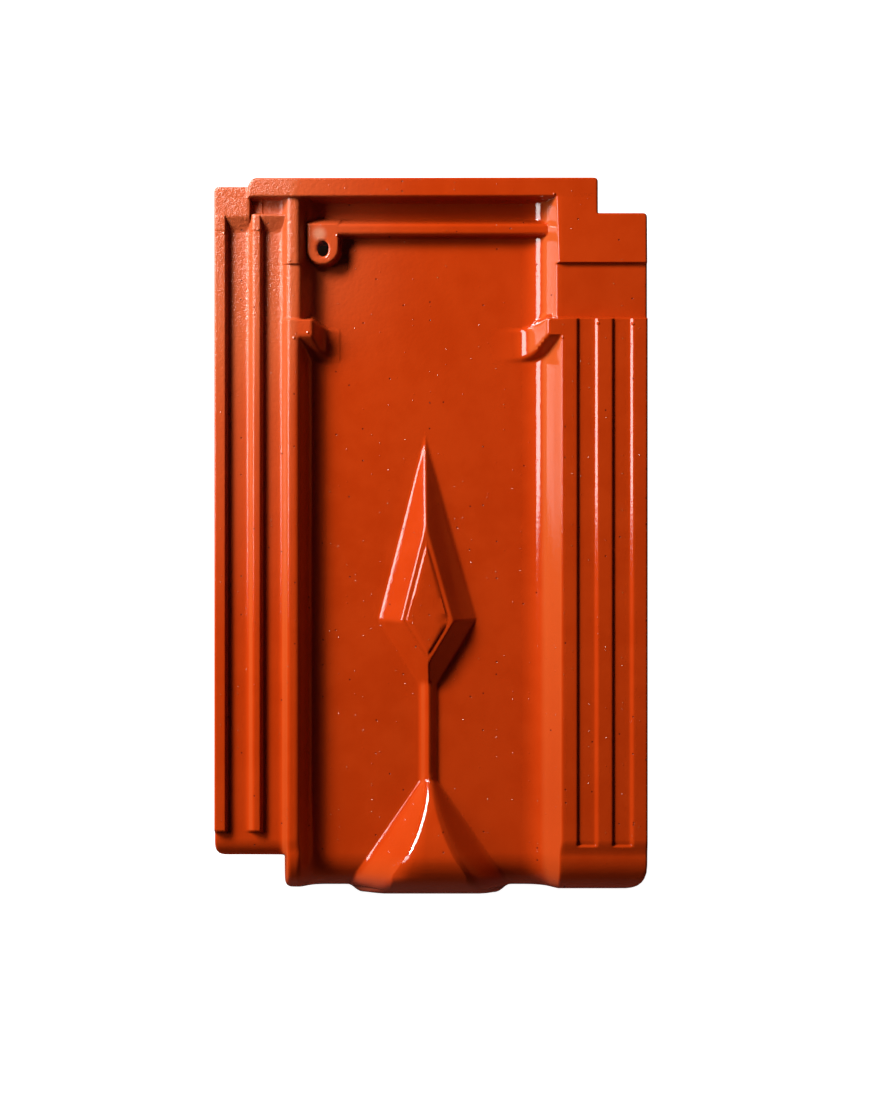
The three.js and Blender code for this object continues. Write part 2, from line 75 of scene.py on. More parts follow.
# Levels and strips across the tile
lapForm = {
    "outerRib": 6.3,
    "wall": 0.7,
    "groove": 12.0,
    "middleRibLead": 3.2,
    "middleRib": 4.1,
    "channel": 11.4,
    "mainRibWall": 3.6,
    "mainRib": 6.1,
    "channelRise": 7.0,
    "ribHeight": 4.5,
    "ribEndFromFoot": 34.2,
}
panForm = {"top": 29.0, "under": 18.0, "fillet": 12.0, "slope": math.radians(60)}
mainRibRise = {"along": 14.0, "band": 12.2, "head": 13.6, "footDrop": 1.0}
coverForm = {
    "width": 48.8,
    "band": 17.2,
    "panelFoot": 19.8,
    "panelHead": 17.6,
    "footDrop": 2.3,
    "slope": math.radians(65),
    "slopeSoft": 11.0,
    "firstRib": 8.6,
    "flutePitch": 20.0,
    "fluteFloor": 8.7,
    "fluteSteepWall": 1.5,
    "fluteWall": 1.9,
    "fluteDepth": 1.4,
}
bandPlaces = {"headStep": 49.0, "bandFoot": 80.5, "fluteEndFromFoot": 27.2}
noseForm = {"length": 21.0, "drop": 22.0, "lapLength": 10.3, "lapDrop": 8.0}
edgeRound = 1.2

panTop = panForm["top"]
channelFloor = panTop + lapForm["channelRise"]
smallRibTop = channelFloor + lapForm["ribHeight"]
slopeRun = 1 / math.tan(panForm["slope"])
coverRiseFull = crownTop - panTop

outerRibRight = leftEdge + lapForm["outerRib"]
grooveLeft = outerRibRight + lapForm["wall"]
grooveRight = grooveLeft + lapForm["groove"]
middleRibLeft = grooveRight + lapForm["middleRibLead"]
middleRibRight = middleRibLeft + lapForm["middleRib"]
channelLeft = middleRibRight + lapForm["wall"]
channelRight = channelLeft + lapForm["channel"]
mainRibLeft = channelRight + lapForm["mainRibWall"]
mainRibRight = mainRibLeft + lapForm["mainRib"]
panLeft = mainRibRight + mainRibRise["along"] * slopeRun
coverLeft = rightEdge - coverForm["width"]
coverFootX = coverLeft - coverRiseFull / math.tan(coverForm["slope"])
panRight = coverLeft - coverRiseFull * slopeRun
panMiddle = (panLeft + panRight) / 2
filletReach = panForm["fillet"] * math.tan(panForm["slope"] / 2)

bodyLength = 406.4
footY = headY - bodyLength
headStepY = headY - bandPlaces["headStep"]
bandFootY = headY - bandPlaces["bandFoot"]
fluteEndY = footY + bandPlaces["fluteEndFromFoot"]
smallRibEndY = footY + lapForm["ribEndFromFoot"]
noseHeadY = footY + noseForm["length"]


def eased(share):
    # a share from 0 to 1 that starts and ends level: 3 s s - 2 s s s
    inside = np.clip(share, 0, 1)
    return inside * inside * (3 - 2 * inside)


def edgeFall(inside, radius, steepness):
    # fall from a level top: none past the radius, a quarter circle at the edge, then a straight wall
    reach = np.clip(radius - inside, 0, radius)
    around = radius - np.sqrt(np.maximum(radius * radius - reach * reach, 0))
    return around + steepness * np.maximum(-inside, 0)


def joined(base, feature, radius, ceiling):
    # the higher of two surfaces, with a hollow fillet where they cross that fades towards the ceiling
    share = np.clip(0.5 + 0.5 * (feature - base) / radius, 0, 1)
    higher = np.maximum(base, feature)
    soft = base + (feature - base) * share + radius * share * (1 - share)
    return higher + (soft - higher) * eased((ceiling - higher) / radius)


def lowered(first, second, radius):
    # the lower of two surfaces, rounded over where they cross
    share = np.clip(0.5 + 0.5 * (second - first) / radius, 0, 1)
    return second + (first - second) * share - radius * share * (1 - share)


def hollowSlope(outward, angle, soft):
    # height of a side slope at a distance outward from its foot: a parabola over the soft length, then a
    # plane; inside the foot it falls away
    narrow = 1 - math.cos(angle)
    root = np.sqrt(np.maximum(1 - narrow * np.clip(1 + outward / soft, 0, 2 - narrow), 0))
    share = (1 - root) / narrow
    hollow = soft * math.sin(angle) * share * share + 2 * np.minimum(outward + soft, 0)
    return np.where(outward > soft * math.cos(angle), outward * math.tan(angle), hollow)


def noseFall(y, start, length, depth):
    # quarter ellipse from level at the start to the full depth at the end
    share = np.clip((start - y) / length, 0, 1)
    return depth * (1 - np.sqrt(1 - share * share))


# How the tops rise and fall along the tile
stepForm = {  # how far before its line a step starts, and its length
    "mainFoot": (3, 8),
    "mainBand": (0.4, 1.5),
    "mainHead": (0.2, 0.8),
    "coverFoot": (3, 10),
    "coverBand": (0.3, 1.3),
    "coverHead": (0.3, 1.1),
    "fluteFoot": (0.3, 1.6),
    "smallRibFoot": (0.5, 2.2),
    "ribHeadStart": (0.4, 0.9),
    "ribHeadEnd": (0, 0.9),
    "pocket": (0.2, 1.2),
}


def stepUp(past, step):
    # 0 before a step and 1 after it: the distance past its line plus the lead, over the length, eased
    lead, length = stepForm[step]
    return eased((past + lead) / length)


def mainRiseAt(y):
    # height of the main rib over the pan: one level, with an eased step at the foot, the band and the head
    rise = mainRibRise["along"] - mainRibRise["footDrop"] * stepUp(fluteEndY - y, "mainFoot")
    rise = rise + (mainRibRise["band"] - rise) * stepUp(y - bandFootY, "mainBand")
    return rise + (mainRibRise["head"] - rise) * stepUp(y - headStepY, "mainHead")


def coverRiseAt(y):
    # height of the cover over the pan: crown, recessed band and a panel that falls a little to the head
    panel = np.interp(y, [headStepY, headForm["rimFootY"]], [coverForm["panelFoot"], coverForm["panelHead"]])
    rise = coverRiseFull - coverForm["footDrop"] * stepUp(fluteEndY - y, "coverFoot")
    rise = rise + (coverForm["band"] - rise) * stepUp(y - bandFootY, "coverBand")
    return rise + (panel - rise) * stepUp(y - headStepY, "coverHead")


def fluteDepthAt(y):
    # depth of the flutes, which end at the band and before the nose
    fluted = (1 - stepUp(y - bandFootY, "coverBand")) * (1 - stepUp(fluteEndY - y, "fluteFoot"))
    return coverForm["fluteDepth"] * fluted


headForm = {
    "rim": 10.8,
    "rimStart": 13.4,  # from the outer rib
    "rimSideRound": 0.9,
    "rimFootRound": 1.3,
    "rimLeft": 15.6,
    "rimRight": 17.6,
    "rimSteepness": 8.0,
    "bar": 24.9,
    "barWidth": 7.0,
    "barRise": 8.0,
    "barHeadSteepness": 2.2,
    "barFootSteepness": 5.0,
    "blockSetback": 4.7,
    "blockLength": 16.8,
    "blockWidth": 20.3,
    "barRound": 2.4,
    "ridgeWidth": 1.2,
    "lapRamp": 8.2,
    "ribHeadRise": 0.4,
}
headForm["rimFootY"] = headY - headForm["rim"]
headForm["barHeadY"] = headY - headForm["bar"]
headForm["barFootY"] = headForm["barHeadY"] - headForm["barWidth"]
headForm["blockFootY"] = headY - headForm["blockSetback"] - headForm["blockLength"]
headForm["lapRampFootY"] = headForm["blockFootY"] - headForm["lapRamp"]

bossForm = {
    "fromMainRib": 13.8,
    "fromHead": 39.4,
    "radius": 9.2,
    "steepness": 5.0,
    "round": 1.5,
    "headRound": 1.3,
}
bossForm["x"] = mainRibRight + bossForm["fromMainRib"]
bossForm["y"] = headY - bossForm["fromHead"]
nailHole = {"width": 6.6, "mouthLength": 9.6, "length": 7.2, "mouthRound": 0.9}

lugForm = {
    "reach": 8.0,
    "topLength": 9.5,
    "headLean": 5.0,
    "footRun": 13.5,
    "footRound": 2.4,
    "topRound": 1.8,
    "endRound": 1.0,
}


def rimHeight(x, y):
    # level strip that climbs a little towards the cover, with a round foot edge and a steep wall
    share = (x - leftEdge) / (panRight - leftEdge)
    top = panTop + headForm["rimLeft"] + (headForm["rimRight"] - headForm["rimLeft"]) * np.clip(share, 0, 1)
    inside = x - outerRibRight - headForm["rimStart"]
    side = edgeFall(inside, headForm["rimSideRound"], headForm["rimSteepness"])
    foot = edgeFall(y - headForm["rimFootY"], headForm["rimFootRound"], headForm["rimSteepness"])
    return top - np.maximum(side, foot), top


def barHeight(x, y):
    # ridge across the pan with a gentle wall to the head and a steep one to the foot
    head = edgeFall(headForm["barHeadY"] - y, headForm["barRound"], headForm["barHeadSteepness"])
    foot = edgeFall(y - headForm["barFootY"], headForm["barRound"], headForm["barFootSteepness"])
    left = edgeFall(x - bossForm["x"], 1.0, bossForm["steepness"])
    return panTop + headForm["barRise"] - np.maximum(np.maximum(head, foot), left)


def bossHeight(x, y):
    # level top inside a U whose round end is to the foot, cut off at the bar
    along = np.minimum(y - bossForm["y"], 0)
    reach = bossForm["radius"] - np.hypot(x - bossForm["x"], along)
    head = edgeFall(headForm["barHeadY"] - y, bossForm["headRound"], headForm["barHeadSteepness"])
    side = edgeFall(reach, bossForm["round"], bossForm["steepness"])
    return panTop + headForm["barRise"] - np.maximum(side, head)


def lapRampHeight(y):
    # level with the small ribs at the head, then a plane that falls to the floor of the lap
    fall = (headForm["blockFootY"] - y) * lapForm["ribHeight"] / headForm["lapRamp"]
    return lowered(smallRibTop - fall, np.full_like(y, smallRibTop + 0.06), 0.5)


def blockHeight(x, y):
    # flat block that closes the outer groove at the head
    return lapRampHeight(y) - edgeFall(leftEdge + headForm["blockWidth"] - x, 0.9, 6.0)


def ridgeHeight(x, y):
    # ridge across the inner channel, with a pocket left between it and the rim
    head = edgeFall(headForm["blockFootY"] + headForm["ridgeWidth"] - y, 0.7, 6.0)
    inChannel = (x > middleRibRight - 0.5) & (x < mainRibLeft)
    return np.where(inChannel, lapRampHeight(y) - head, -50.0)


def pocketShare(y):
    # the middle rib stops at the ridge, so that the pocket reaches the block
    return stepUp(y - headForm["blockFootY"] - headForm["ridgeWidth"], "pocket")


def lugHeight(x, y, side):
    # the side slope moved into the pan, cut level at the top, leaning at the foot and slanted at the head
    rise = mainRibRise["along"] if side < 0 else coverRiseFull
    edge = panLeft + lugForm["reach"] if side < 0 else coverFootX - lugForm["reach"]
    angle = panForm["slope"] if side < 0 else coverForm["slope"]
    soft = filletReach if side < 0 else coverForm["slopeSoft"]
    face = hollowSlope(side * (x - edge), angle, soft)
    share = 1 - np.clip(face / rise, 0, 1)
    headEnd = bandFootY - lugForm["headLean"] * share
    footEnd = rise * (1 - (bandFootY - lugForm["topLength"] - y) / lugForm["footRun"])
    sides = lowered(face, footEnd, lugForm["footRound"])
    top = lowered(sides, np.full_like(x, rise + 0.3), lugForm["topRound"])
    inside = mainRibRight - 2 if side < 0 else coverLeft + 4
    behind = edgeFall(side * (inside - x), lugForm["endRound"], 8.0)
    ends = np.maximum(edgeFall(headEnd - y, lugForm["endRound"], 5.0), behind)
    return panTop + np.minimum(top, rise) - ends, panTop + rise


# Lozenge, stem and tail in the pan
lozengeForm = {
    "centre": 1.95,
    "lean": 0.0127,
    "width": 56.3,
    "fromHead": 146.4,
    "headLength": 105.3,
    "footLength": 46.0,
    "rise": 10.0,
    "headInset": 13.2,
    "footInset": 10.8,
    "plateRise": 1.0,
    "plateInset": 2.6,
    "crestRound": 0.5,
    "facetRound": 0.9,
    "topRound": 0.5,
    "plateCorner": 0.6,
    "plateCornerRight": 4.0,
    "plateEdge": 1.3,
}
stemForm = {
    "width": 10.4,
    "crest": 2.4,
    "crestRound": 1.6,
    "rise": 4.0,
    "length": 46.0,
    "underLozenge": 16.0,
    "underTail": 6.0,
}
tailForm = {
    "spread": 0.69,
    "climbLength": 46.0,
    "levelling": 1.6,
    "rise": 22.6,
    "leftFlank": math.radians(44),
    "rightFlank": math.radians(50),
    "noseLength": 25.0,
    "noseDrop": 29.6,
    "crestRound": 2.4,
}

lozengeHeadY = headY - lozengeForm["fromHead"]
lozengeWideY = lozengeHeadY - lozengeForm["headLength"]
lozengeFootY = lozengeWideY - lozengeForm["footLength"]
tailHeadY = lozengeFootY - stemForm["length"]
tailNoseHeadY = tailFootY + tailForm["noseLength"]
headNarrowing = lozengeForm["width"] / 2 / lozengeForm["headLength"]
footNarrowing = lozengeForm["width"] / 2 / lozengeForm["footLength"]


def figureX(y):
    # middle line of the lozenge, stem and tail, which leans a little above the stem
    return panMiddle + lozengeForm["centre"] - lozengeForm["lean"] * np.maximum(0, y - lozengeFootY)


def tailRiseAt(run):
    # the crest climbs from the stem and levels out: 1 - (1 - share) to a power
    share = np.clip(run / tailForm["climbLength"], 0, 1)
    climbed = 1 - (1 - share) ** tailForm["levelling"]
    return stemForm["rise"] + (tailForm["rise"] - stemForm["rise"]) * climbed


def rhombusDepths(x, y):
    # distance in from the two head sides and from the two foot sides of the lozenge's plan
    across = np.hypot(x - figureX(y), lozengeForm["crestRound"])
    head = ((lozengeHeadY - y) * headNarrowing - across) / math.hypot(1, headNarrowing)
    foot = ((y - lozengeFootY) * footNarrowing - across) / math.hypot(1, footNarrowing)
    return head, foot


def lozengeHeight(x, y):
    # lowest of the four facet planes and the flat top, with a thin plate with soft corners on the top
    head, foot = rhombusDepths(x, y)
    headFacet = head * lozengeForm["rise"] / lozengeForm["headInset"]
    footFacet = foot * lozengeForm["rise"] / lozengeForm["footInset"]
    facets = lowered(headFacet, footFacet, lozengeForm["facetRound"])
    block = lowered(facets, np.full_like(x, lozengeForm["rise"] + 0.12), lozengeForm["topRound"])
    headIn = head - lozengeForm["headInset"] - lozengeForm["plateInset"]
    footIn = foot - lozengeForm["footInset"] - lozengeForm["plateInset"]
    onRight = eased((x - figureX(y)) / 3)
    softer = (lozengeForm["plateCornerRight"] - lozengeForm["plateCorner"]) * onRight
    plateDepth = lowered(headIn, footIn, lozengeForm["plateCorner"] + softer)
    return panTop + block + lozengeForm["plateRise"] * eased((plateDepth + 0.35) / lozengeForm["plateEdge"])


def stemHeight(x, y):
    # ridge with flat flanks and a rounded crest
    across = np.abs(x - figureX(y))
    run = (stemForm["width"] - stemForm["crest"]) / 2
    flank = (stemForm["width"] / 2 - across) * stemForm["rise"] / run
    crest = lowered(flank, np.full_like(x, stemForm["rise"] + 0.3), stemForm["crestRound"])
    headEnd = edgeFall(lozengeFootY + stemForm["underLozenge"] - y, 1.0, 1.0)
    ends = headEnd + edgeFall(y - tailHeadY + stemForm["underTail"], 1.0, 1.0)
    return panTop + crest - ends


def tailHeight(x, y):
    # the stem spread and raised towards the foot, with flat flanks, then rounded over like the foot
    run = np.maximum(tailHeadY - y, 0)
    rise = tailRiseAt(run)
    wide = stemForm["width"] / 2 + run * tailForm["spread"]
    across = x - figureX(y)
    steepness = np.where(across < 0, math.tan(tailForm["leftFlank"]), math.tan(tailForm["rightFlank"]))
    crest = np.maximum(stemForm["crest"] / 2, wide - rise / steepness)
    bodyFall = noseFall(y, noseHeadY, noseForm["length"], noseForm["drop"])
    tailFall = noseFall(y, tailNoseHeadY, tailForm["noseLength"], tailForm["noseDrop"])
    base = panTop - bodyFall - edgeRound
    top = panTop + rise - tailFall
    flank = base + (wide - np.abs(across)) * (top - base) / (wide - crest)
    height = lowered(flank, top + tailForm["crestRound"] / 8, tailForm["crestRound"])
    return height - edgeFall(tailHeadY + 3 - y, 1.0, 2.0), top


# Plan of the tile
planForm = {
    "notch": (27.9, 20.3),
    "lapHead": (19.1, 4.7, 3.2),
    "mainFootFromChannel": 1.4,
    "lapFootFromFoot": 19.4,
    "tailFootWidth": 79.6,
    "tailShoulder": 5.4,
    "headRadius": 2.6,
    "footRadius": 6.5,
    "lapFootRadius": 7.0,
    "coverFootRadius": 15.0,
    "cornerSteps": 8,
}


lapNoseHeadY = footY + planForm["lapFootFromFoot"] + noseForm["lapLength"]


def planOutline():
    # corners of the plan, counterclockwise, each rounded by a parabola between points one radius away
    notchWidth, notchLength = planForm["notch"]
    blockWidth, blockSetback, blockLean = planForm["lapHead"]
    mainFootLeft = channelRight + planForm["mainFootFromChannel"]
    lapFootY = footY + planForm["lapFootFromFoot"]
    tailX = float(figureX(tailHeadY))
    tailHalf = planForm["tailFootWidth"] / 2
    head = planForm["headRadius"]
    foot = planForm["footRadius"]
    corners = [
        (mainFootLeft, lapFootY, 0.6),
        (mainFootLeft, footY, foot),
        (tailX - tailHalf - planForm["tailShoulder"], footY, 2.4),
        (tailX - tailHalf, tailFootY, 3.6),
        (tailX + tailHalf, tailFootY, 3.6),
        (tailX + tailHalf + planForm["tailShoulder"], footY, 2.4),
        (rightEdge, footY, planForm["coverFootRadius"]),
        (rightEdge, headY - notchLength, head),
        (rightEdge - notchWidth, headY - notchLength, 0.6),
        (rightEdge - notchWidth, headY, head),
        (leftEdge + blockWidth + blockLean, headY, head),
        (leftEdge + blockWidth, headY - blockSetback, 0.6),
        (leftEdge, headY - blockSetback, head),
        (leftEdge, lapFootY, planForm["lapFootRadius"]),
    ]
    places = np.array([corner[:2] for corner in corners])
    radii = np.array([corner[2] for corner in corners])[:, None]
    before = np.roll(places, 1, axis=0) - places
    after = np.roll(places, -1, axis=0) - places
    starts = places + before / np.linalg.norm(before, axis=1, keepdims=True) * radii
    ends = places + after / np.linalg.norm(after, axis=1, keepdims=True) * radii
    share = np.linspace(0, 1, planForm["cornerSteps"])[None, :, None]
    bends = (1 - share) ** 2 * starts[:, None] + 2 * share * (1 - share) * places[:, None]
    bends = bends + share**2 * ends[:, None]
    return bends.reshape(-1, 2)


def depthInside(x, y, outline):
    # distance from each point to the nearest side of the outline
    starts = outline
    sides = np.roll(outline, -1, axis=0) - outline
    nearest = np.full(x.shape, 1e6)
    for (startX, startY), (sideX, sideY) in zip(starts, sides):
        lengthSquared = sideX * sideX + sideY * sideY
        share = np.clip(((x - startX) * sideX + (y - startY) * sideY) / lengthSquared, 0, 1)
        away = np.hypot(x - startX - share * sideX, y - startY - share * sideY)
        nearest = np.minimum(nearest, away)
    return nearest


# The moulded face is a cross-section carried along the tile: a row for each place along it, and in each
# row the corners of the section, rounded, with straight stretches between them
def carriedSection(corners, rowCount, roundCells):
    # straight line from corner to corner, with a parabola over the soft length at each side of a corner;
    # a corner is its place across, its height, its soft length and the cells of the line that leads to it
    spread = [np.stack([np.broadcast_to(x, rowCount), np.broadcast_to(z, rowCount)], axis=-1)
              for x, z, soft, cells in corners]
    columns = [spread[0]]
    last = spread[0]
    for place in range(1, len(corners)):
        corner = spread[place]
        soft, cells = corners[place][2:]
        back = spread[place - 1] - corner
        start = corner + back / np.linalg.norm(back, axis=1, keepdims=True) * soft
        for cell in range(1, cells + 1):
            columns.append(last + (start - last) * cell / cells)
        last = start
        if soft > 0:
            onward = spread[place + 1] - corner
            end = corner + onward / np.linalg.norm(onward, axis=1, keepdims=True) * soft
            steps = roundCells if soft < 3 else 3 * roundCells
            for step in range(1, steps + 1):
                share = step / steps
                columns.append((1 - share) ** 2 * start + 2 * share * (1 - share) * corner + share**2 * end)
            last = end
    section = np.stack(columns, axis=1)
    return section[..., 0], section[..., 1]


def leftSection(y):
    # the lap, the main rib and the edge of the pan
    lapFall = noseFall(y, lapNoseHeadY, noseForm["lapLength"], noseForm["lapDrop"])
    fall = noseFall(y, noseHeadY, noseForm["length"], noseForm["drop"])
    ribTop = smallRibTop - lapForm["ribHeight"] * stepUp(smallRibEndY - y, "smallRibFoot") - lapFall
    ribHead = stepUp(y - headForm["lapRampFootY"], "ribHeadStart")
    ribHead = ribHead * (1 - stepUp(y - headForm["blockFootY"], "ribHeadEnd"))
    ribTop = ribTop + headForm["ribHeadRise"] * ribHead
    floor = channelFloor - lapFall - 0.02
    ribTop = np.maximum(ribTop, floor + 0.02)
    main = panTop + mainRiseAt(y)
    corners = [
        (leftEdge - 2, ribTop, 0, 1),
        (leftEdge + 0.1, ribTop, 0, 1),
        (leftEdge + 1.5, ribTop, 0, 4),
        (outerRibRight, ribTop, 0.6, 3),
        (grooveLeft, floor, 1.3, 2),
        (grooveRight, floor, 1.8, 5),
        (middleRibLeft, ribTop, 1.2, 3),
        (middleRibRight, ribTop, 0.7, 1),
        (channelLeft, floor, 1.3, 2),
        (channelRight, floor, 1.8, 5),
        (mainRibLeft, main - fall, 1.7, 4),
        (mainRibRight + (mainRibRise["along"] - mainRiseAt(y)) * slopeRun, main - fall, 2.0, 3),
        (panLeft, panTop - fall, filletReach, 6),
        (panLeft + filletReach + 0.6, panTop - fall, 0, 1),
    ]
    return carriedSection(corners, y.size, 3)


def rightSection(y):
    # the slope up from the pan and the cover with its flutes
    fall = noseFall(y, noseHeadY, noseForm["length"], noseForm["drop"])
    crown = panTop + coverRiseAt(y) - fall
    floor = crown - fluteDepthAt(y) - 0.01
    corners = [
        (coverFootX - coverForm["slopeSoft"] - 0.6, panTop - fall, 0, 1),
        (coverFootX, panTop - fall, coverForm["slopeSoft"], 1),
        (coverFootX + coverRiseAt(y) / math.tan(coverForm["slope"]), crown, 1.2, 8),
    ]
    for flute in range(2):
        start = coverLeft + coverForm["firstRib"] + flute * coverForm["flutePitch"]
        floorStart = start + coverForm["fluteSteepWall"]
        floorEnd = floorStart + coverForm["fluteFloor"]
        corners.append((start, crown, 0.7, 4))
        corners.append((floorStart, floor, 0.6, 1))
        corners.append((floorEnd, floor, 0.7, 3))
        corners.append((floorEnd + coverForm["fluteWall"], crown, 0.7, 1))
        if flute == 0:
            corners.append((rightEdge - planForm["notch"][0] + 2.0, crown, 0, 6))
    corners.append((rightEdge - 1.5, crown, 0, 5))
    corners.append((rightEdge - 0.1, crown, 0, 4))
    corners.append((rightEdge + 2, crown, 0, 1))
    return carriedSection(corners, y.size, 3)


panGrid = {"figureHalf": 46.0, "widestTail": 42.0, "bossCells": 18, "coverCells": 4}


def panColumns(y, start, end):
    # columns of the pan: even by the boss, then close to the edges of the lozenge, stem and tail
    centre = figureX(y)
    run = np.maximum(tailHeadY - y, 0)
    tailWide = np.minimum(stemForm["width"] / 2 + run * tailForm["spread"], panGrid["widestTail"])
    tailCrest = tailWide - tailRiseAt(run) / math.tan((tailForm["leftFlank"] + tailForm["rightFlank"]) / 2)
    headBase = (lozengeHeadY - y) * headNarrowing
    footBase = (y - lozengeFootY) * footNarrowing
    lozengeBase = np.minimum(headBase, footBase)
    headTop = headBase - lozengeForm["headInset"] * math.hypot(1, headNarrowing)
    footTop = footBase - lozengeForm["footInset"] * math.hypot(1, footNarrowing)
    headPlate = headTop - lozengeForm["plateInset"] * math.hypot(1, headNarrowing)
    footPlate = footTop - lozengeForm["plateInset"] * math.hypot(1, footNarrowing)
    stem = np.where(y < lozengeFootY + 10, stemForm["width"] / 2, 0)
    base = np.maximum(np.maximum(lozengeBase, np.where(y < lozengeFootY, tailWide, 0)), stem)
    crest = np.maximum(np.minimum(headTop, footTop), np.where(y < tailHeadY, tailCrest, 1.2))
    plate = np.minimum(headPlate, footPlate)
    knots = [0 * y, plate - 0.6, plate + 0.6, crest - 0.8, crest + 0.8, base - 1.0, base + 1.2]
    gaps = [0, 0.5, 0.6, 0.5, 0.8, 0.6, 1.2]
    for place in range(1, len(knots)):
        knots[place] = np.maximum(knots[place], knots[place - 1] + gaps[place])
    cells = [3, 2, 2, 3, 5, 3, 5]
    knots.append(np.full_like(y, panGrid["figureHalf"]))
    half = [knots[0]]
    for place, count in enumerate(cells):
        for cell in range(1, count + 1):
            half.append(knots[place] + (knots[place + 1] - knots[place]) * cell / count)
    right = [centre + offset for offset in half]
    left = [centre - offset for offset in half[:0:-1]]
    figure = left + right
    bossCells = panGrid["bossCells"]
    coverCells = panGrid["coverCells"]
    bossSide = [start + (figure[0] - start) * cell / bossCells for cell in range(1, bossCells)]
    coverSide = [figure[-1] + (end - figure[-1]) * cell / coverCells for cell in range(1, coverCells)]
    return np.stack(bossSide + figure + coverSide, axis=1)


plateHeadRows = (6, 12)  # the head corner of the plate falls between these places
leastRowGap = 0.17


def marks(start, end, spacing):
    # even places from the start to the end, no farther apart than the spacing
    return np.linspace(start, end, max(2, math.ceil(abs(end - start) / spacing) + 1))


def rowPlaces():
    # places along the tile, close together where the surface turns
    quarter = np.sin(np.linspace(0, math.pi / 2, 20))
    gathered = [
        marks(tailFootY - 3, tailFootY, 1.5),
        noseHeadY - noseForm["length"] * quarter,
        tailNoseHeadY - tailForm["noseLength"] * quarter,
        lapNoseHeadY - noseForm["lapLength"] * quarter[::2],
        marks(noseHeadY - 2, fluteEndY - 2.2, 0.9),
        marks(fluteEndY - 2.2, fluteEndY + 1.2, 0.45),
        marks(fluteEndY + 1.2, fluteEndY + 4.2, 0.9),
        marks(smallRibEndY - 2.4, smallRibEndY + 1.2, 0.45),
        marks(smallRibEndY + 1.2, tailHeadY - 4, 2.6),
        marks(tailHeadY - 4, tailHeadY + 4, 1.0),
        marks(tailHeadY + 4, lozengeFootY - 4, 2.6),
        marks(lozengeFootY - 4, lozengeFootY + 30, 1.3),
        marks(lozengeFootY + 30, lozengeWideY - 7, 1.8),
        marks(lozengeWideY - 7, lozengeWideY + 5, 0.6),
        marks(lozengeWideY + 5, plateHeadRows[0], 2.2),
        marks(*plateHeadRows, 1.0),
        marks(plateHeadRows[1], lozengeHeadY - 8, 2.2),
        marks(lozengeHeadY - 8, lozengeHeadY + 3, 1.0),
        marks(lozengeHeadY + 3, bandFootY - 25, 2.6),
        marks(bandFootY - 25, bandFootY - 1.2, 1.0),
        marks(bandFootY - 1.2, bandFootY + 1.6, 0.22),
        marks(bandFootY + 1.6, bossForm["y"] - 13, 1.8),
        marks(bossForm["y"] - 13, headForm["barFootY"] - 2.5, 0.75),
        marks(headStepY - 0.6, headStepY + 1.2, 0.25),
        marks(headForm["barFootY"] - 2.5, headForm["barHeadY"] + 4.4, 0.48),
        marks(headForm["lapRampFootY"] - 1.0, headForm["lapRampFootY"] + 1.0, 0.4),
        marks(headForm["blockFootY"] - 1.2, headForm["blockFootY"] + 2.6, 0.3),
        marks(headForm["barHeadY"] + 4.4, headForm["rimFootY"] - 3, 0.9),
        marks(headForm["rimFootY"] - 3, headForm["rimFootY"] + 1.4, 0.35),
        marks(headForm["rimFootY"] + 1.4, headY - 1.6, 0.9),
        marks(headY - 1.6, headY + 0.2, 0.25),
        marks(headY + 0.2, headY + 2, 1.8),
    ]
    rows = np.unique(np.concatenate(gathered))
    kept = [rows[0]]
    for row in rows[1:]:
        if row - kept[-1] > leastRowGap:
            kept.append(row)
    return np.array(kept)


joinRadius = {
    "ridge": 0.6,
    "block": 0.6,
    "rim": 1.6,
    "bar": 1.6,
    "boss": 1.6,
    "lug": 1.6,
    "lozenge": 0.8,
    "stem": 0.9,
    "tail": 1.4,
}


def facePlaces(outline):
    # the section carried along the rows, then every raised part joined to it and the outer edge rounded
    y = rowPlaces()
    leftX, leftZ = leftSection(y)
    rightX, rightZ = rightSection(y)
    panX = panColumns(y, leftX[:, -1], rightX[:, 0])
    fall = noseFall(y, noseHeadY, noseForm["length"], noseForm["drop"])
    panZ = np.broadcast_to((panTop - fall)[:, None], panX.shape)
    x = np.concatenate([leftX, panX, rightX], axis=1)
    z = np.concatenate([leftZ, panZ, rightZ], axis=1)
    y = np.broadcast_to(y[:, None], x.shape)
    z = np.where((x > grooveRight) & (x < channelLeft), z - (z - channelFloor) * pocketShare(y), z)
    z = joined(z, ridgeHeight(x, y), joinRadius["ridge"], smallRibTop)
    z = joined(z, blockHeight(x, y), joinRadius["block"], smallRibTop)
    rim, rimTop = rimHeight(x, y)
    z = joined(z, rim, joinRadius["rim"], rimTop)
    z = joined(z, barHeight(x, y), joinRadius["bar"], panTop + headForm["barRise"])
    z = joined(z, bossHeight(x, y), joinRadius["boss"], panTop + headForm["barRise"])
    for side in (-1, 1):
        lug, lugTop = lugHeight(x, y, side)
        z = joined(z, lug, joinRadius["lug"], lugTop)
    z = joined(z, lozengeHeight(x, y), joinRadius["lozenge"], panTop + 20)
    z = joined(z, stemHeight(x, y), joinRadius["stem"], panTop + stemForm["rise"])
    tail, tailTop = tailHeight(x, y)
    z = joined(z, tail, joinRadius["tail"], tailTop)
    away = np.hypot((x - bossForm["x"]) / nailHole["width"], (y - bossForm["y"]) / nailHole["mouthLength"])
    mouth = (away - 0.5) * nailHole["width"]
    rounding = edgeFall(np.maximum(mouth, 0), nailHole["mouthRound"], 0)
    z = z - np.where(mouth < nailHole["mouthRound"], rounding, 0)
    z = z - edgeFall(depthInside(x, y, outline), edgeRound, 0)
    return np.stack([x, y, z], axis=-1)


